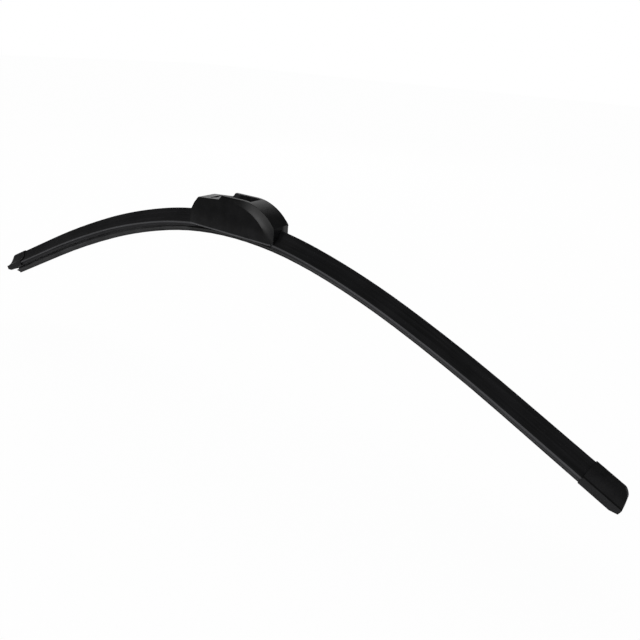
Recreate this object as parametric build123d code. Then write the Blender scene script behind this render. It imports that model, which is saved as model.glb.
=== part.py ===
from build123d import *
import math
import os

# A bowed beam wiper blade with a hook-arm connector in its middle. Millimetres, +X along the blade,
# +Y across it, +Z up. The origin is the middle of the cross pin on which the arm adapter rocks.
# Heights of the sections are measured from the middle of the spring rails' thickness.

# Bow of the blade along the rails, from the middle outwards: three tangent arcs, then straight ends
BOW_MID_RUN = 75.0
BOW_MID_RADIUS = 320.0
BOW_INNER_RUN = 75.0
BOW_INNER_RADIUS = 562.0
BOW_OUTER_RUN = 90.0
BOW_OUTER_RADIUS = 1082.0

# Lengths along the bow: half of the rails, their shift from the connector's middle, what stands past them
RAIL_HALF = 314.75
RAIL_SHIFT = -1.25
RUBBER_PAST_RAIL = 7.0
CAP_PAST_RAIL = 11.0
CAP_LENGTH = 27.0
SPOILER_IN_CAP = 4.0
SPOILER_IN_HOUSING = 3.0

# Spring rails
RAIL_WIDTH = 4.7
RAIL_THICKNESS = 0.9
RAIL_SPACING = 3.8
RAIL_NOTCH_LENGTH = 3.0
RAIL_NOTCH_DEPTH = 1.0
RAIL_NOTCH_FROM_END = 4.0

# Wiper rubber
RUBBER_HEAD_WIDTH = 6.8
RUBBER_HEAD_THICKNESS = 1.4
RUBBER_SHOULDER_THICKNESS = 1.05
NECK_WIDTH = 1.4
NECK_HEIGHT = 1.85
LIP_ROOT_WIDTH = 6.0
LIP_ROOT_HEIGHT = 0.55
LIP_WIDTH = 0.9
LIP_HEIGHT = 3.2
RUBBER_FIT = 0.05

# Spoiler
SPOILER_WIDTH = 17.6
SPOILER_EDGE_BOTTOM = 0.55
SPOILER_EDGE_HEIGHT = 1.4
SPOILER_EDGE_ROUND = 0.45
RIDGE_HEIGHT = 11.2
RIDGE_WIDTH = 1.8
FLANK_MID_HALF_WIDTH = 2.7
FLANK_MID_HEIGHT = 6.25
CLAW_WALL = 0.85
CLAW_LIP = 2.0
CLAW_THICKNESS = 0.85
RAIL_FIT = 0.1

# End caps
CAP_PROUD = 0.7
CAP_SIDE_TOP = 3.0
CAP_SIDE_BOTTOM = -2.4
CAP_SIDE_WALL = 1.3
CAP_NOSE_RUN = 13.0
CAP_END_HEIGHT = 2.9
CAP_TOE_RUN = 4.8
CAP_TOE_RISE = 1.7
CAP_FLOOR = 0.9
CAP_FIT = 0.15

# Pivot of the arm adapter
PIN_RISE = 12.0
PIN_DIAMETER = 5.0
PIN_HEAD_DIAMETER = 6.6
PIN_HEAD_THICKNESS = 0.45
PIN_RUNNING_FIT = 0.05

# Connector base
BASE_LENGTH = 48.0
EAR_SPACING = 12.0
EAR_THICKNESS = 1.0
EAR_ROUND = 5.2
EAR_FOOT = 38.0
BASE_FLOOR_THICKNESS = 1.1
BASE_FLOOR_GAP = 0.2
BASE_CLAW_LENGTH = 8.0
BASE_CLAW_CENTRE = 16.0
BASE_CLAW_THICKNESS = 0.8
BASE_CLAW_LIP = 1.7

# Connector housing, side view: x from the pin, heights from the rails at the middle of the blade
HOUSING_LEFT = -37.7
HOUSING_RIGHT = 44.1
SKIRT_LEFT_HEIGHT = -1.1
SKIRT_SLOPE = 0.75
SLOPE_FOOT_X = -37.2
SLOPE_FOOT_HEIGHT = 10.8
ROOF_LEFT = -29.9
SLOPE_BULGE = 0.6
ROOF_HEIGHT = 20.95
ROOF_SLOPE = 4.9
WINDOW_LEFT = -20.9
RISER_FOOT = -8.4
RISER_RUN = 2.8
DOME_CENTRE_X = 14.0
DOME_TOP = 26.0
DOME_RADIUS = 37.7
HOOD_FRONT = 19.6

# Connector housing, across
HOUSING_FOOT_WIDTH = 19.4
HOUSING_DRAFT = 0.8
HOUSING_WALL = 1.7
HOUSING_RIM_WIDTH = 12.0
HOUSING_LOWER_WIDTH = 15.4
HOUSING_RIM_DEPTH = 0.6
BEAD_RADIUS = 0.7
BEAD_PROUD = 0.25
ROOF_ROUND = 0.6
HOOD_ROUND = 1.0
SPOILER_ENTRY_FIT = 0.3

# Crescent scoop on each flank of the hood: it enters the wall along an arc and rises again over its run
CRESCENT_CENTRE_X = 6.0
CRESCENT_CENTRE_HEIGHT = -15.85
CRESCENT_RADIUS = 37.6
CRESCENT_RUN = 10.5
CRESCENT_ENTRY = 18.0
CRESCENT_EDGE_DEPTH = 0.8
CRESCENT_STEPS = 6

# Arm adapter
HOOK_WIDTH = 9.0
HOOK_FIT = 0.2
ADAPTER_SIDE_FIT = 0.3
ADAPTER_BOSS_RADIUS = 4.6
NOSE_RADIUS = 4.3
NOSE_X = 16.0
NOSE_RISE = 1.0
TAB_LEFT = -20.0
TAB_RIGHT = -7.3
TAB_THICKNESS = 1.5
TAB_DROP = 0.3
TAB_NOTCH_LENGTH = 2.2
TAB_NOTCH_WIDTH = 5.0
GUIDE_RIGHT = 11.0
GUIDE_RISE = 8.2
PIN_MOUTH = 3.9
LATCH_X = 9.5
LATCH_LENGTH = 5.0
LATCH_WIDTH = 3.6
LATCH_RISE = 0.9
LATCH_SLOT = 0.8
LATCH_DEPTH = 1.6

# Derived sizes
RAIL_TOP = RAIL_THICKNESS / 2
RAIL_INNER = RAIL_SPACING / 2
RAIL_OUTER = RAIL_INNER + RAIL_WIDTH
SPOILER_HALF = SPOILER_WIDTH / 2
SPOILER_EDGE_TOP = SPOILER_EDGE_BOTTOM + SPOILER_EDGE_HEIGHT
RUBBER_TOP = RAIL_TOP + RUBBER_FIT + RUBBER_HEAD_THICKNESS
SHOULDER_BOTTOM = -RAIL_TOP - RUBBER_FIT - RUBBER_SHOULDER_THICKNESS
LIP_ROOT_TOP = SHOULDER_BOTTOM - NECK_HEIGHT
LIP_BOTTOM = LIP_ROOT_TOP - LIP_ROOT_HEIGHT - LIP_HEIGHT
RAIL_LEFT = RAIL_SHIFT - RAIL_HALF
RAIL_RIGHT = RAIL_SHIFT + RAIL_HALF
CAP_BEHIND_RAIL = CAP_LENGTH - CAP_PAST_RAIL
CAP_HALF = SPOILER_HALF + CAP_PROUD
EAR_INNER = EAR_SPACING / 2
EAR_OUTER = EAR_INNER + EAR_THICKNESS
HOUSING_HALF = HOUSING_FOOT_WIDTH / 2
ADAPTER_HALF = EAR_INNER - ADAPTER_SIDE_FIT
CORE_HALF = HOOK_WIDTH / 2 + HOOK_FIT / 2
FAR = 60.0


def bow_frame(s):
    """Cross plane at distance s along the bow: local x runs across (+Y), local y rises from the rails."""
    runs = (
        (BOW_MID_RUN, BOW_MID_RADIUS),
        (BOW_INNER_RUN, BOW_INNER_RADIUS),
        (BOW_OUTER_RUN, BOW_OUTER_RADIUS),
    )
    side = -1 if s < 0 else 1
    left = abs(s)
    x = z = turn = 0.0
    for run, radius in runs:
        step = min(left, run)
        after = turn + step / radius
        x += radius * (math.sin(after) - math.sin(turn))
        z += radius * (math.cos(after) - math.cos(turn))
        turn = after
        left -= step
    x += left * math.cos(turn)
    z -= left * math.sin(turn)
    along = (math.cos(turn), 0, -side * math.sin(turn))
    return Plane(origin=(side * x, 0, z - PIN_RISE), x_dir=(0, 1, 0), z_dir=along)


def bow_path(start, end):
    """Wire along the rails from start to end: tangent arcs and straight ends."""
    inner = BOW_MID_RUN + BOW_INNER_RUN
    outer = inner + BOW_OUTER_RUN
    knots = [-outer, -inner, -BOW_MID_RUN, BOW_MID_RUN, inner, outer]
    stops = [start] + [k for k in knots if start < k < end] + [end]
    edges = []
    for a, b in zip(stops, stops[1:]):
        first, middle, last = (bow_frame(s).origin for s in (a, (a + b) / 2, b))
        straight = min(abs(a), abs(b)) >= outer
        edges.append(Edge.make_line(first, last) if straight else Edge.make_three_point_arc(first, middle, last))
    return Wire(edges)


def along_bow(section, start, end):
    """Extrusion of a cross section along the bow."""
    return sweep(bow_frame(start) * section, path=bow_path(start, end))


def band(half_width, bottom, top, inner=0.0):
    """Rectangular section, or a matching pair of them when inner is given."""
    height = top - bottom
    middle = (bottom + top) / 2
    if not inner:
        return Pos(0, middle) * Rectangle(2 * half_width, height)
    one = Pos((inner + half_width) / 2, middle) * Rectangle(half_width - inner, height)
    return one + mirror(one, Plane.YZ)


def whole_section(edges):
    """Closed face from the edges of one half, mirrored about the blade's middle plane."""
    half = Curve() + edges
    return make_face(half + mirror(half, Plane.YZ))


def rubber_section():
    """Head over the rails, web between them, shoulder below, then neck and tapering lip."""
    slot = RAIL_TOP + RUBBER_FIT
    web = RAIL_INNER - RUBBER_FIT
    head = RUBBER_HEAD_WIDTH / 2
    neck = NECK_WIDTH / 2
    root = LIP_ROOT_WIDTH / 2
    taper_top = LIP_ROOT_TOP - LIP_ROOT_HEIGHT
    outline = Polyline(
        (0, RUBBER_TOP),
        (head, RUBBER_TOP),
        (head, slot),
        (web, slot),
        (web, -slot),
        (head, -slot),
        (head, SHOULDER_BOTTOM),
        (neck, SHOULDER_BOTTOM),
        (neck, LIP_ROOT_TOP),
        (root, LIP_ROOT_TOP),
        (root, taper_top),
        (LIP_WIDTH / 2, LIP_BOTTOM + LIP_WIDTH),
        (LIP_WIDTH / 2, LIP_BOTTOM),
        (0, LIP_BOTTOM),
    )
    return whole_section([outline])


def flank_outline(grow):
    """One half of the fin from its ridge down to the lower corner of its edge, grown outwards by grow."""
    ridge = RIDGE_WIDTH / 2 + grow
    top = RIDGE_HEIGHT + grow
    edge = SPOILER_HALF + grow
    shoulder = SPOILER_EDGE_TOP + grow
    bottom = SPOILER_EDGE_BOTTOM - grow
    crown = RIDGE_WIDTH / 2
    return [
        ThreePointArc((0, top), (ridge * math.sin(math.pi / 4), top - crown * (1 - math.cos(math.pi / 4))),
                      (ridge, top - crown)),
        ThreePointArc((ridge, top - crown), (FLANK_MID_HALF_WIDTH + grow, FLANK_MID_HEIGHT + grow / 2),
                      (edge, shoulder)),
        Line((edge, shoulder), (edge, bottom)),
    ]


def fin_section(grow):
    """Outline of the fin and its base, without the channel, grown by a clearance."""
    bottom = SPOILER_EDGE_BOTTOM - grow
    return whole_section(flank_outline(grow) + [Line((SPOILER_HALF + grow, bottom), (0, bottom))])


def claw_outer():
    """Half width over the spoiler's claws."""
    return RAIL_OUTER + RAIL_FIT + CLAW_WALL


def spoiler_section():
    """Fin with claws below it that clip round both rails, and a pocket for the rubber's head."""
    channel = RAIL_TOP + RAIL_FIT
    claw_bottom = -channel - CLAW_THICKNESS
    body = fin_section(0) + band(claw_outer(), claw_bottom, SPOILER_EDGE_BOTTOM)
    body -= band(RAIL_OUTER + RAIL_FIT, -channel, channel)
    body -= band(RAIL_OUTER + RAIL_FIT - CLAW_LIP, claw_bottom, channel)
    body -= band(RUBBER_HEAD_WIDTH / 2 + RAIL_FIT, channel, RUBBER_TOP + RAIL_FIT)
    edge_middle = (SPOILER_EDGE_BOTTOM + SPOILER_EDGE_TOP) / 2
    corners = body.vertices().filter_by(lambda v: abs(v.X) > SPOILER_HALF - SPOILER_EDGE_ROUND and v.Y > edge_middle)
    return fillet(corners, SPOILER_EDGE_ROUND)


def make_rail(side):
    """Flat spring strip with a latch notch near each end of its outer edge."""
    middle = side * (RAIL_INNER + RAIL_OUTER) / 2
    rail = along_bow(Pos(middle, 0) * Rectangle(RAIL_WIDTH, RAIL_THICKNESS), RAIL_LEFT, RAIL_RIGHT)
    outside = RAIL_OUTER + RAIL_NOTCH_DEPTH
    cutter = Pos(side * (RAIL_OUTER - RAIL_NOTCH_DEPTH + outside) / 2, 0) * Rectangle(
        2 * RAIL_NOTCH_DEPTH, 2 * RAIL_THICKNESS
    )
    right = RAIL_RIGHT - RAIL_NOTCH_FROM_END
    left = RAIL_LEFT + RAIL_NOTCH_FROM_END
    rail -= along_bow(cutter, right - RAIL_NOTCH_LENGTH, right)
    rail -= along_bow(cutter, left, left + RAIL_NOTCH_LENGTH)
    return rail


def cap_section():
    """Cap's outer section: flanks that stand proud of the spoiler's, over a tall side wall."""
    flank = flank_outline(CAP_PROUD)
    corner = flank[1] @ 1
    side_foot = (CAP_HALF, CAP_SIDE_BOTTOM)
    crease = (CAP_HALF, CAP_SIDE_TOP)
    top_arc = ThreePointArc(flank[1] @ 0, flank[1] @ 0.5, (corner.X - CAP_PROUD, CAP_SIDE_TOP))
    return whole_section(
        [
            flank[0],
            top_arc,
            Line((corner.X - CAP_PROUD, CAP_SIDE_TOP), crease),
            Line(crease, side_foot),
            Line(side_foot, (0, CAP_SIDE_BOTTOM)),
        ]
    )


def cap_side_view():
    """Cap seen from the side: ridge that rounds down to the tip, and a toe that rises to it."""
    nose = CAP_LENGTH - CAP_NOSE_RUN
    top = RIDGE_HEIGHT + 2 * CAP_PROUD
    toe = CAP_LENGTH - CAP_TOE_RUN
    floor = CAP_SIDE_BOTTOM - CAP_PROUD
    sweep_down = math.pi / 4
    bend = (
        nose + CAP_NOSE_RUN * math.sin(sweep_down),
        CAP_END_HEIGHT + (top - CAP_END_HEIGHT) * math.cos(sweep_down),
    )
    outline = [
        Line((0, floor), (0, top)),
        Line((0, top), (nose, top)),
        ThreePointArc((nose, top), bend, (CAP_LENGTH, CAP_END_HEIGHT)),
        Line((CAP_LENGTH, CAP_END_HEIGHT), (CAP_LENGTH, CAP_SIDE_BOTTOM + CAP_TOE_RISE)),
        Line((CAP_LENGTH, CAP_SIDE_BOTTOM + CAP_TOE_RISE), (toe, CAP_SIDE_BOTTOM)),
        Line((toe, CAP_SIDE_BOTTOM), (toe, floor)),
        Line((toe, floor), (0, floor)),
    ]
    return make_face(Curve() + outline)


def make_cap(rail_end):
    """Moulded shoe pushed over the spoiler's end; it traps the rails and lets the lip pass below."""
    cap_start = rail_end - CAP_BEHIND_RAIL
    cap = along_bow(cap_section(), cap_start, rail_end + CAP_PAST_RAIL)
    start = bow_frame(cap_start)
    side = Plane(origin=start.origin, x_dir=start.z_dir, z_dir=(0, -1, 0))
    cap &= extrude(side * cap_side_view(), CAP_HALF + 1, both=True)
    spoiler_end = cap_start + SPOILER_IN_CAP + CAP_FIT
    cap -= along_bow(fin_section(CAP_FIT), cap_start, spoiler_end)
    cap -= along_bow(band(claw_outer() + CAP_FIT, CAP_SIDE_BOTTOM, RAIL_TOP + CAP_FIT), cap_start, spoiler_end)
    channel = RAIL_TOP + CAP_FIT
    cap -= along_bow(band(RAIL_OUTER + CAP_FIT, -channel, channel), spoiler_end, rail_end + CAP_FIT)
    head = RUBBER_HEAD_WIDTH / 2 + CAP_FIT
    rubber_end = rail_end + RUBBER_PAST_RAIL + CAP_FIT
    cap -= along_bow(band(head, CAP_SIDE_BOTTOM, RUBBER_TOP + CAP_FIT), spoiler_end, rubber_end)
    tray = RAIL_OUTER + CAP_FIT + CAP_SIDE_WALL / 2
    cap -= along_bow(band(tray, CAP_SIDE_BOTTOM, -channel - CAP_FLOOR), spoiler_end, rubber_end)
    notch_end = rail_end - RAIL_NOTCH_FROM_END - CAP_FIT
    notch_start = notch_end - RAIL_NOTCH_LENGTH + 2 * CAP_FIT
    tooth = band(RAIL_OUTER + 2 * CAP_FIT, -channel - CAP_FIT, channel + CAP_FIT,
                 RAIL_OUTER - RAIL_NOTCH_DEPTH + CAP_FIT)
    return cap + along_bow(tooth, notch_start, notch_end)


def side_plane():
    """Plane of the side views: x along the blade, y the height from the rails at its middle."""
    return Plane(origin=(0, 0, -PIN_RISE), x_dir=(1, 0, 0), z_dir=(0, -1, 0))


def roof_height(x):
    """Height of the low roof, which rises gently towards the middle."""
    return ROOF_HEIGHT + (x - ROOF_LEFT) * math.tan(math.radians(ROOF_SLOPE))


def housing_side_view():
    """Outline of the housing from the side: sloped end, low roof, riser and domed hood."""
    low = -FAR / 4
    centre = Vector(DOME_CENTRE_X, DOME_TOP - DOME_RADIUS)
    end_turn = math.asin((HOUSING_RIGHT - DOME_CENTRE_X) / DOME_RADIUS)
    end = centre + Vector(math.sin(end_turn), math.cos(end_turn)) * DOME_RADIUS
    crown = centre + Vector(math.sin(end_turn / 2), math.cos(end_turn / 2)) * DOME_RADIUS
    foot = Vector(SLOPE_FOOT_X, SLOPE_FOOT_HEIGHT)
    shoulder = Vector(ROOF_LEFT, ROOF_HEIGHT)
    outward = Vector(foot.Y - shoulder.Y, shoulder.X - foot.X).normalized()
    bulge = (foot + shoulder) / 2 + outward * SLOPE_BULGE
    left = Polyline(
        (HOUSING_LEFT, low),
        (HOUSING_LEFT, 0),
        (foot.X, foot.Y),
        (bulge.X, bulge.Y),
        (shoulder.X, shoulder.Y),
        (RISER_FOOT, roof_height(RISER_FOOT)),
        (RISER_FOOT + RISER_RUN, DOME_TOP),
        (DOME_CENTRE_X, DOME_TOP),
    )
    dome = ThreePointArc((DOME_CENTRE_X, DOME_TOP), (crown.X, crown.Y), (end.X, end.Y))
    right = Polyline((end.X, end.Y), (HOUSING_RIGHT, low), (HOUSING_LEFT, low))
    return make_face(Curve() + [left, dome, right])


def skirt_frame():
    """Cross plane at the housing's left end; the skirt falls gently and straight from there."""
    fall = math.radians(SKIRT_SLOPE)
    return Plane(
        origin=(HOUSING_LEFT, 0, SKIRT_LEFT_HEIGHT - PIN_RISE),
        x_dir=(0, 1, 0),
        z_dir=(math.cos(fall), 0, -math.sin(fall)),
    )


def housing_section():
    """Drafted walls that end in a half-round bead along the skirt; heights from the skirt."""
    top = DOME_TOP + FAR / 4
    lean = math.tan(math.radians(HOUSING_DRAFT))
    bead_x = HOUSING_HALF + BEAD_PROUD - BEAD_RADIUS
    bead_top = BEAD_RADIUS + math.sqrt(BEAD_RADIUS**2 - (BEAD_RADIUS - BEAD_PROUD) ** 2)
    wall_top = HOUSING_HALF - (top - bead_top) * lean
    return whole_section(
        [
            Line((0, 0), (bead_x, 0)),
            ThreePointArc((bead_x, 0), (bead_x + BEAD_RADIUS, BEAD_RADIUS), (HOUSING_HALF, bead_top)),
            Line((HOUSING_HALF, bead_top), (wall_top, top)),
            Line((wall_top, top), (0, top)),
        ]
    )


def crescent_cutter():
    """Block outside one wall whose inner face is a scoop: deepest towards the end, fading out at the top."""
    lean = math.radians(HOUSING_DRAFT)
    wall = Plane(
        origin=(CRESCENT_CENTRE_X, -HOUSING_HALF, SPOILER_EDGE_BOTTOM - PIN_RISE),
        x_dir=(1, 0, 0),
        z_dir=(0, -math.cos(lean), math.sin(lean)),
    )
    drop = CRESCENT_CENTRE_HEIGHT - SPOILER_EDGE_BOTTOM
    entry = CRESCENT_RUN * math.tan(math.radians(CRESCENT_ENTRY))
    rows = []
    for row in range(CRESCENT_STEPS + 1):
        out = row / CRESCENT_STEPS
        points = []
        for step in range(CRESCENT_STEPS + 1):
            turn = math.pi / 2 * (1 - step / CRESCENT_STEPS)
            reach = CRESCENT_RADIUS + CRESCENT_RUN * out
            depth = (entry * out * (1 - out) + CRESCENT_EDGE_DEPTH * out**2) * math.cos(turn)
            points.append(wall.from_local_coords((reach * math.cos(turn), drop + reach * math.sin(turn), -depth)))
        rows.append(points)
    face = Face.make_surface_from_array_of_points(rows)
    return extrude(face, amount=HOUSING_HALF, dir=(0, -1, 0))


def make_housing():
    """Moulded cover: hollow below, open at the top for the adapter and hook, hooded at one end."""
    outline = housing_side_view()
    length = HOUSING_RIGHT - HOUSING_LEFT
    body = extrude(skirt_frame() * housing_section(), length + 4) & extrude(side_plane() * outline, FAR, both=True)
    body = fillet(brow_edges(body, HOUSING_LEFT, RISER_FOOT), ROOF_ROUND)
    body = fillet(brow_edges(body, RISER_FOOT + RISER_RUN, HOUSING_RIGHT), HOOD_ROUND)
    cutter = crescent_cutter()
    body -= cutter
    body -= mirror(cutter, Plane.XZ)
    hollow = offset(outline, -HOUSING_WALL)
    rim_bottom = PIN_RISE + EAR_ROUND + HOUSING_RIM_DEPTH
    tunnel_top = SPOILER_EDGE_TOP + HOUSING_WALL
    base_room = Pos(0, rim_bottom - FAR) * Rectangle(BASE_LENGTH + 2 * HOUSING_WALL, 2 * FAR)
    rail_room = Pos(0, tunnel_top - FAR) * Rectangle(4 * FAR, 2 * FAR)
    body -= extrude(side_plane() * hollow, HOUSING_RIM_WIDTH / 2, both=True)
    body -= extrude(side_plane() * (hollow & (base_room + rail_room)), HOUSING_LOWER_WIDTH / 2, both=True)
    opening = HOOD_FRONT - WINDOW_LEFT
    body -= Pos((HOOD_FRONT + WINDOW_LEFT) / 2, 0, DOME_TOP - PIN_RISE) * Box(
        opening, HOUSING_RIM_WIDTH, 2 * (DOME_TOP - rim_bottom)
    )
    entry = fin_section(SPOILER_ENTRY_FIT) + band(claw_outer() + SPOILER_ENTRY_FIT, -FAR / 4, SPOILER_EDGE_TOP)
    for side in (-1, 1):
        mouth = bow_frame(spoiler_start(side) - side * SPOILER_ENTRY_FIT)
        body -= extrude(mouth * entry, side * 4 * SPOILER_IN_HOUSING)
    return body


def brow_edges(body, start, end):
    """Edges between start and end along which the side walls meet the roof, the hood or its dome."""
    chosen = []
    for edge in body.edges():
        middle = edge @ 0.5
        on_wall = abs(middle.Y) > HOUSING_LOWER_WIDTH / 2
        along = abs((edge @ 1).X - (edge @ 0).X) > HOUSING_WALL
        if on_wall and along and start < middle.X < end and middle.Z > -EAR_ROUND:
            chosen.append(edge)
    return chosen


def spoiler_start(side):
    """Distance along the bow at which a spoiler starts, just inside the housing's end."""
    end = HOUSING_LEFT if side < 0 else HOUSING_RIGHT
    return end - side * SPOILER_IN_HOUSING


def make_spoiler(side):
    """Extruded fin from just inside the housing to just inside the end cap."""
    rail_end = RAIL_LEFT if side < 0 else RAIL_RIGHT
    in_cap = rail_end - side * (CAP_BEHIND_RAIL - SPOILER_IN_CAP)
    return along_bow(spoiler_section(), *sorted((spoiler_start(side), in_cap)))


def ear_side_view():
    """Ear outline: a round about the pin that widens to a foot along the rails."""
    foot = SPOILER_EDGE_TOP
    eye = Pos(0, PIN_RISE) * Circle(EAR_ROUND)
    root = Pos(0, foot / 2) * Rectangle(EAR_FOOT, foot)
    ears = make_hull(eye.edges() + root.edges())
    return ears + Pos(0, -FAR / 8) * Rectangle(2 * BASE_LENGTH, FAR / 4 + 2 * foot)


def make_base():
    """Pressed saddle on the rails: two ears for the pin, a floor over the rubber and four crimped claws."""
    half = BASE_LENGTH / 2
    floor = RUBBER_TOP + BASE_FLOOR_GAP
    profile = band(EAR_OUTER, RAIL_TOP, PIN_RISE + 2 * EAR_ROUND, EAR_INNER)
    profile += band(EAR_OUTER, floor, floor + BASE_FLOOR_THICKNESS)
    base = along_bow(profile, -half, half) & extrude(side_plane() * ear_side_view(), EAR_OUTER + 1, both=True)
    claw_inner = RAIL_OUTER + RAIL_FIT
    claw_outside = claw_inner + BASE_CLAW_THICKNESS
    channel = RAIL_TOP + RAIL_FIT / 2
    claw = band(claw_outside, -channel - BASE_CLAW_THICKNESS, floor + BASE_FLOOR_THICKNESS, claw_inner)
    claw += band(claw_outside, -channel - BASE_CLAW_THICKNESS, -channel, claw_inner - BASE_CLAW_LIP)
    for side in (-1, 1):
        middle = side * BASE_CLAW_CENTRE
        base += along_bow(claw, middle - BASE_CLAW_LENGTH / 2, middle + BASE_CLAW_LENGTH / 2)
    hole = Rot(90, 0, 0) * Cylinder(PIN_DIAMETER / 2, 4 * EAR_OUTER)
    return base - hole


def make_pin():
    """Cross pin with a riveted head outside each ear."""
    shank = Rot(90, 0, 0) * Cylinder(PIN_DIAMETER / 2, 2 * EAR_OUTER)
    head = Rot(90, 0, 0) * Cylinder(PIN_HEAD_DIAMETER / 2, PIN_HEAD_THICKNESS)
    reach = EAR_OUTER + PIN_HEAD_THICKNESS / 2
    return shank + Pos(0, reach, 0) * head + Pos(0, -reach, 0) * head


def make_adapter():
    """Moulded block on the pin: round nose for the hook, guide walls, sprung latch and thumb tab."""
    flat = Plane(origin=(0, 0, 0), x_dir=(1, 0, 0), z_dir=(0, -1, 0))
    nose_top = NOSE_RISE + NOSE_RADIUS
    boss = Circle(ADAPTER_BOSS_RADIUS)
    core = boss + Pos(NOSE_X, NOSE_RISE) * Circle(NOSE_RADIUS)
    core += make_face(
        Polyline(
            (0, ADAPTER_BOSS_RADIUS),
            (NOSE_X, nose_top),
            (NOSE_X, NOSE_RISE - NOSE_RADIUS),
            (0, -ADAPTER_BOSS_RADIUS),
            close=True,
        )
    )
    tab_left_top = roof_height(TAB_LEFT) - TAB_DROP - PIN_RISE
    tab_right_top = roof_height(TAB_RIGHT) - TAB_DROP - PIN_RISE
    wall = make_face(
        Polyline(
            (TAB_LEFT, tab_left_top),
            (TAB_RIGHT, tab_right_top),
            (TAB_RIGHT + TAB_THICKNESS, GUIDE_RISE),
            (GUIDE_RIGHT, GUIDE_RISE),
            (GUIDE_RIGHT, NOSE_RISE - NOSE_RADIUS / 2),
            (0, -ADAPTER_BOSS_RADIUS),
            (TAB_LEFT, tab_left_top - 2 * TAB_THICKNESS),
            close=True,
        )
    )
    adapter = extrude(flat * core, CORE_HALF, both=True) + extrude(flat * (wall + boss), ADAPTER_HALF, both=True)
    channel = make_face(
        Polyline(
            (TAB_LEFT - 1, tab_left_top - TAB_THICKNESS),
            (TAB_RIGHT, tab_right_top - TAB_THICKNESS),
            (TAB_RIGHT, FAR / 2),
            (FAR / 2, FAR / 2),
            (FAR / 2, -FAR / 2),
            (TAB_LEFT - 1, -FAR / 2),
            close=True,
        )
    )
    adapter -= extrude(flat * (channel - core), CORE_HALF, both=True)
    notch = Pos(TAB_LEFT, 0, tab_left_top) * Box(2 * TAB_NOTCH_LENGTH, TAB_NOTCH_WIDTH, 4 * TAB_THICKNESS)
    adapter -= notch
    bump = make_face(
        Polyline(
            (LATCH_X - LATCH_LENGTH / 2, nose_top - LATCH_DEPTH),
            (LATCH_X - LATCH_LENGTH / 2, nose_top),
            (LATCH_X + LATCH_LENGTH / 4, nose_top + LATCH_RISE),
            (LATCH_X + LATCH_LENGTH / 2, nose_top + LATCH_RISE),
            (LATCH_X + LATCH_LENGTH / 2, nose_top - LATCH_DEPTH),
            close=True,
        )
    )
    adapter += extrude(flat * bump, LATCH_WIDTH / 2, both=True)
    for side in (-1, 1):
        across = side * (LATCH_WIDTH + LATCH_SLOT) / 2
        adapter -= Pos(LATCH_X, across, nose_top) * Box(LATCH_LENGTH * 2, LATCH_SLOT, 2 * LATCH_DEPTH)
    bore = PIN_DIAMETER / 2 + PIN_RUNNING_FIT
    adapter -= Rot(90, 0, 0) * Cylinder(bore, 4 * ADAPTER_HALF)
    adapter -= Pos(0, 0, -ADAPTER_BOSS_RADIUS) * Box(PIN_MOUTH, 4 * ADAPTER_HALF, 2 * ADAPTER_BOSS_RADIUS)
    return adapter


def main():
    os.makedirs("parts", exist_ok=True)
    rubber_ends = (RAIL_LEFT - RUBBER_PAST_RAIL, RAIL_RIGHT + RUBBER_PAST_RAIL)
    parts = {
        "wiper_rubber": along_bow(rubber_section(), *rubber_ends),
        "spring_rail_front": make_rail(-1),
        "spring_rail_rear": make_rail(1),
        "spoiler_left": make_spoiler(-1),
        "spoiler_right": make_spoiler(1),
        "end_cap_left": mirror(make_cap(-RAIL_LEFT), Plane.YZ),
        "end_cap_right": make_cap(RAIL_RIGHT),
        "connector_base": make_base(),
        "pivot_pin": make_pin(),
        "connector_housing": make_housing(),
        "arm_adapter": make_adapter(),
    }
    for name, part in parts.items():
        export_step(part, f"parts/{name}.step")


main()
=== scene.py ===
import math

import bpy
import mathutils
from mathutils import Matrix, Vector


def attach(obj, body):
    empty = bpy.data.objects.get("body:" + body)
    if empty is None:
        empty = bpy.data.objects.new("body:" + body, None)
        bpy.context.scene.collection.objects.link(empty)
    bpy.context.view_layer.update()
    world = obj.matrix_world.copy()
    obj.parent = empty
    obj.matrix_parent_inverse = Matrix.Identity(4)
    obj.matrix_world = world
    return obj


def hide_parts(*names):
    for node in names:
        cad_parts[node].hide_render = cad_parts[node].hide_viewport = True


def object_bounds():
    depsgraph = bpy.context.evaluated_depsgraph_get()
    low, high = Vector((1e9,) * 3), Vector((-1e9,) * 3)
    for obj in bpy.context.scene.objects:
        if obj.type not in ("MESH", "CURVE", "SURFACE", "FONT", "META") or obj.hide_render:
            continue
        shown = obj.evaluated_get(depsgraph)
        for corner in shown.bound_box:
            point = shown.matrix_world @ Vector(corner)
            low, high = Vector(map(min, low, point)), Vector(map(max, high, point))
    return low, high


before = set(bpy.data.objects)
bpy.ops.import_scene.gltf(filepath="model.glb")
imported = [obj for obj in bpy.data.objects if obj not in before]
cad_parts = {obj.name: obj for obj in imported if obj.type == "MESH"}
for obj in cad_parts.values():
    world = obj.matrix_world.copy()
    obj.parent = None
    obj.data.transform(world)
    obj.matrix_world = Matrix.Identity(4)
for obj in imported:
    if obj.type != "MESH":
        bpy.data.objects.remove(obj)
cad_low, cad_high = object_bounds()


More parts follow.
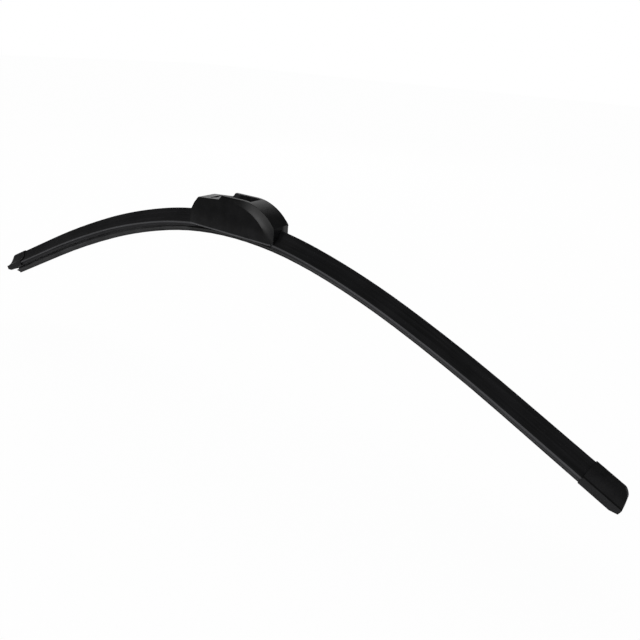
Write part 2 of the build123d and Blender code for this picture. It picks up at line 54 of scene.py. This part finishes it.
# Wiper rubber: one soft extrusion, dull dark grey, with a head above the spring rails, a thin neck
# and the wiping lip. It is drawn through a die, so faint lines follow the bow from end to end. The lip
# is coated with graphite, which makes it darker. Its middle under the connector is painted darker
# as the connector's painted shadow.
class Tone:
    """One socket of a material; sums and products of tones add their Math nodes."""

    def __init__(self, tree, socket=None):
        self.tree = tree
        self.socket = socket

    def node(self, kind, settings, values, out=0):
        """Adds a node with its settings, then its socket values or links; returns one of its outputs."""
        made = self.tree.nodes.new(kind)
        for key, value in settings.items():
            setattr(made, key, value)
        for key, value in values.items():
            if isinstance(value, Tone):
                self.tree.links.new(value.socket, made.inputs[key])
            else:
                made.inputs[key].default_value = value
        return Tone(self.tree, made.outputs[out])

    def beside(self, out):
        """Another output of the node that this tone comes from."""
        return Tone(self.tree, self.socket.node.outputs[out])

    def math(self, operation, first, second):
        return self.node("ShaderNodeMath", {"operation": operation}, {0: first, 1: second})

    def __add__(self, other):
        return self.math("ADD", self, other)

    def __radd__(self, other):
        return self.math("ADD", other, self)

    def __sub__(self, other):
        return self.math("SUBTRACT", self, other)

    def __rsub__(self, other):
        return self.math("SUBTRACT", other, self)

    def __mul__(self, other):
        return self.math("MULTIPLY", self, other)

    def __rmul__(self, other):
        return self.math("MULTIPLY", other, self)

    def __abs__(self):
        return self.math("ABSOLUTE", self, 0.0)

    def step(self, low, high):
        """0 below low and 1 above high, with a soft rise between them."""
        return self.node(
            "ShaderNodeMapRange",
            {"interpolation_type": "SMOOTHSTEP"},
            {"Value": self, "From Min": low, "From Max": high},
        )

    def mix(self, dark, light):
        """Colour that goes from dark to light as this tone goes from 0 to 1."""
        ends = [end if isinstance(end, Tone) else (*end, 1) for end in (dark, light)]
        return self.node("ShaderNodeMix", {"data_type": "RGBA"}, {0: self, 6: ends[0], 7: ends[1]}, 2)


def grey(level, cool=1.05):
    """Near-black grey with a slightly cool cast."""
    return (level, level, level * cool)


def finish_of(name, specular, links, **even):
    """Material of a piece: even values are set on the shader, and links come from its tones."""
    material = bpy.data.materials.new(name)
    material.use_nodes = True
    shader = material.node_tree.nodes["Principled BSDF"]
    shader.inputs["Specular IOR Level"].default_value = specular
    for key, value in even.items():
        shader.inputs[key.replace("_", " ").title()].default_value = value
    for key, tone in links(Tone(material.node_tree)).items():
        material.node_tree.links.new(tone.socket, shader.inputs[key])
    return material


def millimetres(tone):
    """Object coordinates in millimetres: along, across and up."""
    place = tone.node("ShaderNodeTexCoord", {}, {}, "Object")
    scaled = tone.node("ShaderNodeVectorMath", {"operation": "SCALE"}, {0: place, "Scale": 1000.0})
    along = tone.node("ShaderNodeSeparateXYZ", {}, {0: scaled})
    return along, along.beside(1), along.beside(2)


RAIL_MIDDLE = -12.0
BOW_FALL = (1.596e-3, -7.174e-9, 2.198e-14)


def above_rails(along, up):
    """Height above the spring rails, which fall away from the middle in a bow."""
    square = along * along
    return up - RAIL_MIDDLE + square * (BOW_FALL[0] + square * (BOW_FALL[1] + square * BOW_FALL[2]))


NOISE_SPREAD = (0.32, 0.68)


def drawn_lines(tone, along, across, height, pitch, spread=0.012):
    """Noise drawn out along the blade, as a die leaves it."""
    axes = {0: along * spread, 1: across * pitch, 2: height * pitch}
    point = tone.node("ShaderNodeCombineXYZ", {}, axes)
    values = {"Vector": point, "Scale": 1.0, "Detail": 3.0, "Roughness": 0.55}
    return tone.node("ShaderNodeTexNoise", {}, values).step(*NOISE_SPREAD)


def grain(tone, scale, detail=2.0):
    """Fine even grain in object space, in grains per millimetre."""
    place = tone.node("ShaderNodeTexCoord", {}, {}, "Object")
    values = {"Vector": place, "Scale": scale * 1000.0, "Detail": detail}
    return tone.node("ShaderNodeTexNoise", {}, values).step(*NOISE_SPREAD)


def bump(tone, height, strength, distance):
    """Normal that rises and falls with a height, by at most a distance in metres."""
    values = {"Height": height, "Strength": strength, "Distance": distance}
    return tone.node("ShaderNodeBump", {}, values)


EASED = 1
EASED_TURN = math.radians(32)
FLAT_TURN = math.radians(0.3)
MERGE_REACH = 0.000002


def cad_normals(mesh, cad, reach):
    """Corner normals of a copy: a kept face takes the CAD face's, an eased one its neighbours'."""
    tree = mathutils.kdtree.KDTree(len(cad.vertices))
    corners = [[] for vertex in cad.vertices]
    for vertex in cad.vertices:
        tree.insert(vertex.co, vertex.index)
    for face in cad.polygons:
        for corner in face.loop_indices:
            pair = (face.normal, cad.corner_normals[corner].vector)
            corners[cad.loops[corner].vertex_index].append(pair)
    tree.balance()
    normals = [face.normal for face in mesh.polygons for corner in face.loop_indices]
    beside = [[] for vertex in mesh.vertices]
    for face in mesh.polygons:
        if face.material_index == EASED:
            continue
        for corner in face.loop_indices:
            vertex = mesh.loops[corner].vertex_index
            near = tree.find_range(mesh.vertices[vertex].co, reach)
            found = [pair for place, index, distance in near for pair in corners[index]]
            if found:
                normals[corner] = max(found, key=lambda pair: face.normal.dot(pair[0]))[1]
            beside[vertex].append(normals[corner])
    for face in mesh.polygons:
        if face.material_index != EASED:
            continue
        for corner in face.loop_indices:
            found = beside[mesh.loops[corner].vertex_index]
            if found:
                normals[corner] = max(found, key=face.normal.dot)
    return normals


def ease_weights(mesh, least):
    """1 for each convex corner to ease, 0 elsewhere; one that ends among shorter edges stays sharp."""
    sides = {}
    for face in mesh.polygons:
        for key in face.edge_keys:
            sides.setdefault(key, []).append(face)
    places = [vertex.co for vertex in mesh.vertices]
    lengths = [(places[edge.vertices[0]] - places[edge.vertices[1]]).length for edge in mesh.edges]
    short = [edge for edge, length in zip(mesh.edges, lengths) if length < least]
    crowded = {end for edge in short for end in edge.vertices}
    weights = []
    for edge in mesh.edges:
        first, second = sides[edge.key]
        sharp = first.normal.angle(second.normal) > EASED_TURN
        convex = (second.center - first.center).dot(first.normal) < 0
        roomy = not crowded.intersection(edge.vertices)
        weights.append(float(sharp and convex and roomy))
    return weights


def eased_edges(name, node, body, slot, width, finish, edge_finish=None, *more):
    """Copy of a CAD node, in its place, with sharp edges eased as a die or a mould leaves them."""
    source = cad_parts[node]
    piece = bpy.data.objects.new(name, source.data.copy())
    bpy.context.collection.objects.link(piece)
    piece.data.materials.clear()
    for material in (finish, edge_finish or finish, *more):
        piece.data.materials.append(material)
    bpy.ops.object.select_all(action="DESELECT")
    piece.select_set(True)
    bpy.context.view_layer.objects.active = piece
    bpy.ops.object.mode_set(mode="EDIT")
    bpy.ops.mesh.select_all(action="SELECT")
    bpy.ops.mesh.remove_doubles(threshold=MERGE_REACH)
    bpy.ops.mesh.customdata_custom_splitnormals_clear()
    bpy.ops.mesh.dissolve_limited(angle_limit=FLAT_TURN)
    bpy.ops.object.mode_set(mode="OBJECT")
    corners = piece.data.attributes.new("bevel_weight_edge", "FLOAT", "EDGE")
    corners.data.foreach_set("value", ease_weights(piece.data, 3 * width))
    ease = piece.modifiers.new("ease", "BEVEL")
    ease.width = width
    ease.segments = 1
    ease.limit_method = "WEIGHT"
    ease.use_clamp_overlap = False
    ease.material = EASED
    bpy.ops.object.modifier_apply(modifier=ease.name)
    bpy.ops.object.shade_smooth()
    piece.data.normals_split_custom_set(cad_normals(piece.data, source.data, 4 * width))
    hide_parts(node)
    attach(piece, body)
    return piece


RUBBER_EASE = 0.0001
GRAPHITE_EDGE = (-4.7, -3.9)
PAINTED_SHADE_EDGE = (42.0, 50.0)


def rubber_links(tone):
    along, across, up = millimetres(tone)
    height = above_rails(along, up)
    lines = drawn_lines(tone, along, across, height, 1.6)
    dust = grain(tone, 0.05, 4.0)
    root = height.step(*GRAPHITE_EDGE)
    # Painted shadow: the rubber under the connector is painted darker than the rest.
    outside_painted_shade = abs(along).step(*PAINTED_SHADE_EDGE)
    patch = lines * 0.6 + dust * 0.4
    lip = patch.mix(grey(0.005), grey(0.03))
    open_run = root.mix(lip, patch.mix(grey(0.008), grey(0.056)))
    return {
        "Base Color": outside_painted_shade.mix(patch.mix(grey(0.002), grey(0.009)), open_run),
        "Roughness": 0.58 + lines * 0.28,
        "Normal": bump(tone, lines + grain(tone, 2.0) * 0.3, 0.4, 0.0001),
    }


rubber = finish_of("wiping rubber", 0.12, rubber_links)
eased_edges("rubber_extrusion", "wiper_rubber", "blade", "wiping_rubber", RUBBER_EASE, rubber)


# Spring rails: two strips of cold-rolled spring steel in the rubber's side slots, which give the blade
# its bow. Their edges are dressed smooth, and only these show, from below.
RAIL_EASE = 0.0001


def rail_links(tone):
    along, across, up = millimetres(tone)
    lines = drawn_lines(tone, along, across, above_rails(along, up), 6.0, 0.05)
    return {
        "Base Color": lines.mix((0.2, 0.2, 0.205), (0.36, 0.36, 0.37)),
        "Roughness": 0.28 + lines * 0.25,
        "Normal": bump(tone, lines, 0.2, 0.00003),
    }


spring_steel = finish_of("spring steel", 0.5, rail_links, metallic=1.0)
for side in ("front", "rear"):
    eased_edges(
        f"rail_{side}_strip",
        f"spring_rail_{side}",
        "blade",
        "spring_steel",
        RAIL_EASE,
        spring_steel,
    )


# Spoilers: two lengths of finned extrusion in matt black rubber that clip round both rails. The cut of
# the die leaves the outer edge of the base duller and greyer than the flanks. The claws under it are
# painted a lighter grey as painted light, and on the right half both are painted lighter still as painted
# light.
SPOILER_EASE = 0.00015
SPOILER_EDGE = (8.64, 8.76)
CLAW_TOP = (0.3, 0.5)
SPOILER_PAINTED_LIGHT_RUN = (44.0, 120.0)


def spoiler_links(tone):
    along, across, up = millimetres(tone)
    height = above_rails(along, up)
    lines = drawn_lines(tone, along, across, height, 0.9)
    fine = drawn_lines(tone, along, across, height, 4.0, 0.03)
    bloom = grain(tone, 0.03, 4.0)
    edge = abs(across).step(*SPOILER_EDGE)
    # Painted light: the claws below the rails get a lighter grey than the flanks.
    claws = 1.0 - height.step(*CLAW_TOP)
    patch = lines * 0.45 + fine * 0.25 + bloom * 0.3
    flank = patch.mix(grey(0.0035, 1.06), grey(0.0135, 1.06))
    # Painted light: the right half of the edge and claws is painted lighter than the left.
    painted_light_right_half = along.step(*SPOILER_PAINTED_LIGHT_RUN)
    painted_light_claws = painted_light_right_half.mix(patch.mix(grey(0.016), grey(0.028)), patch.mix(grey(0.028), grey(0.046)))
    side = painted_light_right_half.mix(patch.mix(grey(0.044), grey(0.064)), patch.mix(grey(0.054), grey(0.078)))
    return {
        "Base Color": edge.mix(claws.mix(flank, painted_light_claws), side),
        "Roughness": 0.72 + lines * 0.16,
        "Normal": bump(tone, lines + fine * 0.4, 0.35, 0.00008),
    }


spoiler_rubber = finish_of("spoiler rubber", 0.03, spoiler_links)
for side in ("left", "right"):
    eased_edges(
        f"spoiler_{side}_extrusion",
        f"spoiler_{side}",
        "blade",
        "spoiler_rubber",
        SPOILER_EASE,
        spoiler_rubber,
    )


# End caps: moulded shoes in fine-grained black plastic, pushed over the spoilers' ends. Their side walls
# are greyer than the tops, and their edges are polished and a lighter grey, partly worn and partly a
# painted highlight. The crease above each side wall is painted shade, and the left cap is painted
# darker than the right, also as painted shade.
CAP_EASE = 0.0003
CAP_SIDE = (9.25, 9.45)
CAP_FOOT = (1.5, 5.5)
CAP_PAINTED_CREASE_SHADE = (7.5, 8.3)
CAP_PAINTED_LIGHT_RUN = (-250.0, 250.0)


def cap_links(tone):
    along, across = millimetres(tone)[:2]
    cloud = grain(tone, 0.12, 3.0)
    fine = grain(tone, 1.6)
    side = abs(across).step(*CAP_SIDE)
    foot = abs(across).step(*CAP_FOOT)
    # Painted shade: the left cap is painted darker than the right.
    painted_light_right_cap = along.step(*CAP_PAINTED_LIGHT_RUN)
    patch = cloud * 0.5 + fine * 0.5
    # Painted shade in the crease above each side wall; the left cap's whole top takes the same dark tone.
    painted_crease_shade = abs(across).step(*CAP_PAINTED_CREASE_SHADE)
    dark = patch.mix(grey(0.001), grey(0.005))
    top = foot.mix(patch.mix(grey(0.0022), grey(0.0084)), patch.mix(grey(0.008), grey(0.017)))
    wall = painted_light_right_cap.mix(patch.mix(grey(0.005), grey(0.015)), patch.mix(grey(0.012), grey(0.026)))
    return {
        "Base Color": side.mix(painted_light_right_cap.mix(dark, painted_crease_shade.mix(top, dark)), wall),
        "Roughness": 0.46 + cloud * 0.2 + side * 0.1,
        "Normal": bump(tone, fine + cloud, 0.35, 0.00006),
    }


# Eased edges are a lighter grey, partly worn and partly a painted highlight.
def cap_edge_links(tone):
    cloud = grain(tone, 0.3, 3.0)
    return {"Base Color": cloud.mix(grey(0.008), grey(0.02)), "Roughness": 0.3 + cloud * 0.15}


cap_plastic = finish_of("cap plastic", 0.05, cap_links)
cap_edge = finish_of("cap edge", 0.1, cap_edge_links)
for side in ("left", "right"):
    eased_edges(
        f"end_cap_{side}_moulding",
        f"end_cap_{side}",
        "blade",
        "cap_plastic",
        CAP_EASE,
        cap_plastic,
        cap_edge,
    )


# Connector base and pin: a zinc-plated steel pressing whose claws grip the rails and whose ears carry
# the pin, which is riveted over at both ends.
PLATED_EASE = 0.00015


def plated_links(tone):
    spangle = grain(tone, 0.5, 3.0)
    return {
        "Base Color": spangle.mix((0.38, 0.38, 0.39), (0.55, 0.55, 0.55)),
        "Roughness": 0.3 + spangle * 0.2,
        "Normal": bump(tone, grain(tone, 4.0), 0.15, 0.00004),
    }


zinc_plate = finish_of("zinc plate", 0.5, plated_links, metallic=1.0)
eased_edges("base_pressing", "connector_base", "blade", "plated_steel", PLATED_EASE, zinc_plate)
eased_edges("pin_rivet", "pivot_pin", "blade", "pin_steel", PLATED_EASE, zinc_plate)


# Connector housing: one satin black moulding over the base, with a low roof, a hood over the hook's bend
# and a crescent scoop on each flank. The mould is polished at the scoops and the hooded end, and matt
# inside and on the slopes. The bead along the skirt is grey; the eased corners are a lighter grey, partly
# worn and partly a painted highlight, and the low walls are a lighter grey than the rest.
HOUSING_EASE = 0.00025
SKIRT_LEFT = (-37.7, -13.1)
SKIRT_FALL = 0.01309
BEAD_HEIGHT = 1.25
BEAD_TOP = (1.05, 1.25)
BEAD_FACE = (9.3, 9.5)
CRESCENT_CENTRE = (6.0, -27.85)
CRESCENT_RADIUS = 37.6
POLISH_RUN = (13.0, 28.0)
POLISH_RISE = (-7.5, 5.5)
POLISH_ACROSS = (1.0, 5.0)
LOW_WALL_RISE = (2.0, 15.0)
CORE_HALF_WIDTH = 7.8
CORE_LEFT = -33.0
CORE_RIGHT = 39.0
FLANK_TURN = 0.8
END_TURN = 0.9
SLOPE_TURN = -0.4
INWARD = -1.0
CRESCENT, INSIDE, END, SLOPE = 2, 3, 4, 5


def housing_links(tone):
    along, across, up = millimetres(tone)
    cloud = grain(tone, 0.1, 3.0)
    fine = grain(tone, 2.2)
    above_skirt = up - SKIRT_LEFT[1] + (along - SKIRT_LEFT[0]) * SKIRT_FALL
    bead = (1.0 - above_skirt.step(*BEAD_TOP)) * abs(across).step(*BEAD_FACE)
    lighter_low_wall = 1.0 - above_skirt.step(*LOW_WALL_RISE)
    patch = cloud * 0.5 + fine * 0.5
    upper_wall_tone = patch.mix(grey(0.0012, 1.1), grey(0.0044, 1.1))
    wall = lighter_low_wall.mix(upper_wall_tone, patch.mix(grey(0.004), grey(0.012)))
    return {
        "Base Color": bead.mix(wall, patch.mix(grey(0.05), grey(0.08))),
        "Roughness": 0.15 + cloud * 0.08 + bead * 0.4,
        "Normal": bump(tone, fine, 0.2, 0.00002),
    }


def crescent_links(tone):
    along, up = millimetres(tone)[::2]
    polish = along.step(*POLISH_RUN) * up.step(*POLISH_RISE)
    return {
        **housing_links(tone),
        "Roughness": 0.24 + grain(tone, 0.1, 3.0) * 0.1,
        "Coat Weight": polish * 0.52,
    }


def end_links(tone):
    across = millimetres(tone)[1]
    cloud = grain(tone, 0.15, 3.0)
    return {
        "Base Color": cloud.mix(grey(0.0038, 1.08), grey(0.0085, 1.08)),
        "Roughness": 0.2 + cloud * 0.1,
        "Coat Weight": across.step(*POLISH_ACROSS) * 0.5,
        "Normal": bump(tone, grain(tone, 2.2), 0.2, 0.00002),
    }


def inside_links(tone):
    cloud = grain(tone, 0.2, 3.0)
    return {
        "Base Color": cloud.mix(grey(0.014), grey(0.034)),
        "Roughness": 0.6 + cloud * 0.2,
        "Normal": bump(tone, grain(tone, 1.2), 0.4, 0.00006),
    }


def slope_links(tone):
    cloud = grain(tone, 0.1, 3.0)
    fine = grain(tone, 2.2)
    return {
        "Base Color": (cloud * 0.5 + fine * 0.5).mix(grey(0.004), grey(0.013)),
        "Roughness": 0.6 + cloud * 0.2,
        "Normal": bump(tone, fine, 0.2, 0.00002),
    }


# Eased corners are a lighter grey, partly worn and partly a painted highlight.
def housing_edge_links(tone):
    cloud = grain(tone, 0.3, 3.0)
    return {"Base Color": cloud.mix(grey(0.006), grey(0.022)), "Roughness": 0.24 + cloud * 0.15}


housing = eased_edges(
    "housing_moulding",
    "connector_housing",
    "blade",
    "housing_plastic",
    HOUSING_EASE,
    finish_of("housing plastic", 0.045, housing_links),
    finish_of("housing edge", 0.1, housing_edge_links),
    finish_of("housing crescent", 0.045, crescent_links, coat_roughness=0.56),
    finish_of("housing inside", 0.1, inside_links),
    finish_of("housing end", 0.02, end_links, coat_roughness=0.25),
    finish_of("housing slope", 0.0, slope_links),
)
for face in housing.data.polygons:
    x, y, z = face.center * 1000
    out = math.hypot(x - CRESCENT_CENTRE[0], z - CRESCENT_CENTRE[1])
    over_bead = z - SKIRT_LEFT[1] + (x - SKIRT_LEFT[0]) * SKIRT_FALL > BEAD_HEIGHT
    scooped = abs(face.normal.y) > FLANK_TURN and x > CRESCENT_CENTRE[0] and out > CRESCENT_RADIUS
    in_core = abs(y) < CORE_HALF_WIDTH and CORE_LEFT < x < CORE_RIGHT
    if face.material_index == EASED:
        continue
    if in_core and face.normal.y * y < INWARD:
        face.material_index = INSIDE
    elif face.normal.x > END_TURN:
        face.material_index = END
    elif face.normal.x < SLOPE_TURN:
        face.material_index = SLOPE
    elif scooped and over_bead:
        face.material_index = CRESCENT


# Arm adapter: a black acetal moulding on the pin; the arm's hook wraps round its nose, a sprung latch
# holds it, and the tab in the roof is pressed to let it go.
ADAPTER_EASE = 0.0002


def adapter_links(tone):
    cloud = grain(tone, 0.15, 3.0)
    fine = grain(tone, 2.0)
    patch = cloud * 0.6 + fine * 0.4
    return {
        "Base Color": patch.mix(grey(0.008), grey(0.022)),
        "Roughness": 0.2 + cloud * 0.12,
        "Normal": bump(tone, fine, 0.2, 0.00003),
    }


adapter_plastic = finish_of("adapter plastic", 0.08, adapter_links)
eased_edges(
    "adapter_moulding",
    "arm_adapter",
    "adapter",
    "adapter_plastic",
    ADAPTER_EASE,
    adapter_plastic,
)


# Studio: a pale floor, low enough for the blade's ends to swing over it, a white surround and soft
# lamps; the camera stands where the photograph's did, above and in front of the right end.
FLOOR_LEVEL = cad_low.z - 0.06
FLOOR_SIZE = 14.0
PAPER_WHITE = 0.93
SURROUND_GLOW = 0.45
FRONT_PLACE = (-0.63, -1.36, 0.0)
BACK_PLACE = (-0.73, 1.41, 0.84)
ROOF_PLACE = (-1.15, 1.37, 0.21)
SKY_TURN = (-14, -10, 0)
CAMERA_PLACE = (0.320339, -0.362843, 0.118704)
CAMERA_TURN = (67.25265, -3.98596, 34.7974)
CAMERA_LENS = 36.25

bpy.ops.object.select_all(action="DESELECT")
bpy.ops.mesh.primitive_grid_add(
    x_subdivisions=8,
    y_subdivisions=8,
    size=FLOOR_SIZE,
    location=(0, 0, FLOOR_LEVEL),
)
floor = bpy.context.object
floor.name = "studio_floor"
bpy.ops.object.transform_apply(location=True, rotation=False, scale=False)
paper = bpy.data.materials.new("floor paper")
paper.use_nodes = True
tone = Tone(paper.node_tree)
seen = tone.node("ShaderNodeLightPath", {}, {}, "Is Camera Ray")
mirrored = seen.beside("Is Glossy Ray") + seen.beside("Is Transmission Ray")
white_share = PAPER_WHITE * tone.math("MINIMUM", seen + mirrored, 1.0)
paper_diffuse = tone.node("ShaderNodeBsdfDiffuse", {}, {"Color": (*(PAPER_WHITE,) * 3, 1)})
paper_white = tone.node("ShaderNodeEmission", {}, {"Color": (1, 1, 1, 1), "Strength": 1.0})
paper_mix = tone.node("ShaderNodeMixShader", {}, {0: white_share, 1: paper_diffuse, 2: paper_white})
paper_output = paper.node_tree.nodes["Material Output"]
paper.node_tree.links.new(paper_mix.socket, paper_output.inputs["Surface"])
floor.data.materials.append(paper)

world = bpy.data.worlds.new("studio")
bpy.context.scene.world = world
world.use_nodes = True
tone = Tone(world.node_tree)
seen = tone.node("ShaderNodeLightPath", {}, {}, "Is Camera Ray")
shown = tone.math("MINIMUM", seen + seen.beside("Is Transmission Ray"), 1.0)
glow = SURROUND_GLOW + shown * (1.0 - SURROUND_GLOW)
background = world.node_tree.nodes["Background"]
world.node_tree.links.new(glow.socket, background.inputs["Strength"])
background.inputs["Color"].default_value = (1, 1, 1, 1)


def soft_box(name, size, watts, place):
    """Square lamp that faces the pin and stays out of the picture."""
    light = bpy.data.lights.new(name, "AREA")
    light.size = size
    light.energy = watts
    box = bpy.data.objects.new(name, light)
    bpy.context.collection.objects.link(box)
    box.location = place
    box.rotation_euler = box.location.to_track_quat("Z", "Y").to_euler()
    box.visible_camera = False


soft_box("front_box", 0.23, 7.0, FRONT_PLACE)
soft_box("back_card", 0.7, 1.9, BACK_PLACE)
soft_box("roof_card", 0.4, 0.25, ROOF_PLACE)

sky_light = bpy.data.lights.new("sky_panel", "SUN")
sky_light.energy = 1.45
sky_light.angle = math.radians(70)
sky_panel = bpy.data.objects.new("sky_panel", sky_light)
bpy.context.collection.objects.link(sky_panel)
sky_panel.rotation_euler = tuple(math.radians(angle) for angle in SKY_TURN)

lens = bpy.data.cameras.new("photograph")
lens.sensor_width = 36.0
lens.lens = CAMERA_LENS
lens.clip_end = 30.0
camera = bpy.data.objects.new("photograph", lens)
bpy.context.collection.objects.link(camera)
camera.location = CAMERA_PLACE
camera.rotation_euler = tuple(math.radians(angle) for angle in CAMERA_TURN)
bpy.context.scene.camera = camera
bpy.context.scene.view_settings.view_transform = "Standard"
